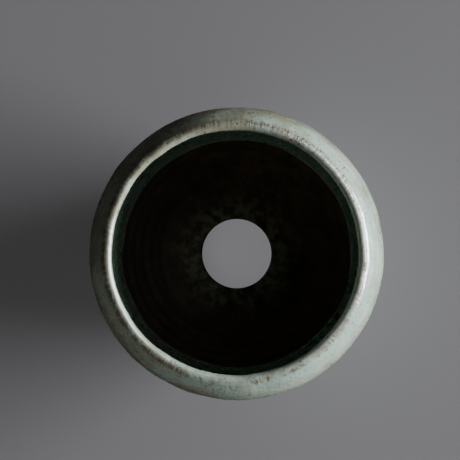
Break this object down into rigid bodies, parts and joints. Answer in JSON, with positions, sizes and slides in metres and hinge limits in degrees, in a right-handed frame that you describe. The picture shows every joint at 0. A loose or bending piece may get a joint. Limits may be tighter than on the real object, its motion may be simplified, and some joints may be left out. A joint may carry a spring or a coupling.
{
  "type": "brush pot",
  "caption": "Globular stoneware brush pot with a rounded lip, a turned foot ring, a drain hole in its floor and a celadon glaze.",
  "frame": {"origin": "centre of the foot ring's underside, on the surface the pot stands on", "axes": "+Z along the pot's axis, up through the mouth; the pot is round, so +X and +Y are free"},
  "size_m": [0.128, 0.128, 0.096],
  "materials": {
    "foot_clay": "bare fired stoneware, matt, turned smooth, iron-dark",
    "inside_clay": "dark fired stoneware, matt, pitted, with faint throwing rings",
    "celadon_glaze": "satin sage celadon with iron specks, tan where thin and blue-green where thick",
    "inner_glaze": "satin green celadon on the upper half of the inside, ending in a brown-edged roll"
  },
  "bodies": {
    "root": {"foot_ring": "foot_clay", "base_disc": "inside_clay", "lower_wall": "inside_clay", "shoulder_wall": "inside_clay", "lip": "inside_clay", "outer_glaze": "celadon_glaze", "inner_glaze": "inner_glaze"}
  },
  "joints": []
}
